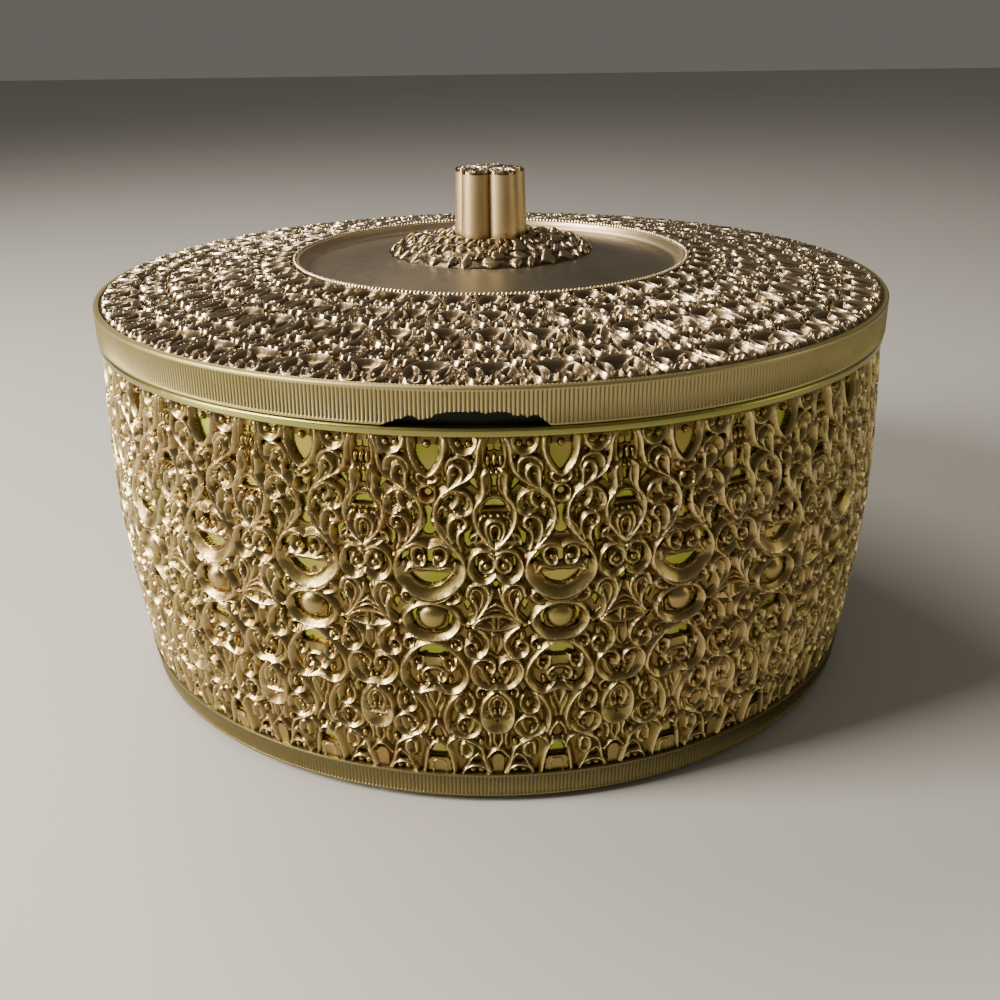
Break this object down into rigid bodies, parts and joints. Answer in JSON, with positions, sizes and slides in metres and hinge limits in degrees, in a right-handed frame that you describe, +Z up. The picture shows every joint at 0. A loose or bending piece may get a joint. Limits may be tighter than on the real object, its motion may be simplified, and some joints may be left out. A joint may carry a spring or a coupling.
{
  "type": "sewing box",
  "caption": "Round drum-shaped sewing box with a gold filigree shell, a lift-off lid with a lobed knob, and a compartment tray inside.",
  "frame": {"origin": "centre of the circle of feet, on the surface that the box stands on", "axes": "+Z up along the round box's axis, -Y towards the front, where the lid's skirt is chipped"},
  "size_m": [0.2508, 0.2508, 0.1543],
  "materials": {
    "gold_filigree": "vacuum-metallised gold over moulded plastic, worn in places",
    "satin_gold": "satin metallised gold",
    "black_plastic": "black moulded plastic",
    "clear_foot": "pale translucent plastic",
    "screw_steel": "zinc plated"
  },
  "bodies": {
    "box": {"filigree_drum": "gold_filigree", "rim_ring": "gold_filigree", "base_ring": "gold_filigree", "base_plate": "black_plastic", "liner_bucket": "black_plastic", "foot_1": "clear_foot", "foot_2": "clear_foot", "foot_3": "clear_foot", "foot_4": "clear_foot"},
    "tray": {"tray_pan": "black_plastic", "tray_cup": "black_plastic", "tray_handle": "black_plastic", "tray_divider_1": "black_plastic", "tray_divider_2": "black_plastic", "tray_divider_3": "black_plastic", "tray_divider_4": "black_plastic", "tray_divider_5": "black_plastic", "tray_divider_6": "black_plastic", "spool_peg_1": "black_plastic", "spool_peg_2": "black_plastic", "spool_peg_3": "black_plastic", "spool_peg_4": "black_plastic", "spool_peg_5": "black_plastic", "spool_peg_6": "black_plastic"},
    "lid": {"lid_shell": "gold_filigree", "lid_dish": "satin_gold", "lid_liner": "black_plastic", "knob_rosette": "gold_filigree", "knob_column": "satin_gold", "knob_cap": "gold_filigree", "knob_screw": "screw_steel", "knob_washer": "screw_steel"}
  },
  "joints": [
    {"name": "lid_lift", "type": "slide", "parent": "box", "child": "lid", "axis": [0, 0, 1], "range_m": [0, 0.125]},
    {"name": "tray_lift", "type": "slide", "parent": "box", "child": "tray", "axis": [0, 0, 1], "range_m": [0, 0.05]}
  ],
  "couplings": [
    {"joint": "tray_lift", "follows": "lid_lift", "ratio": 0.4}
  ]
}
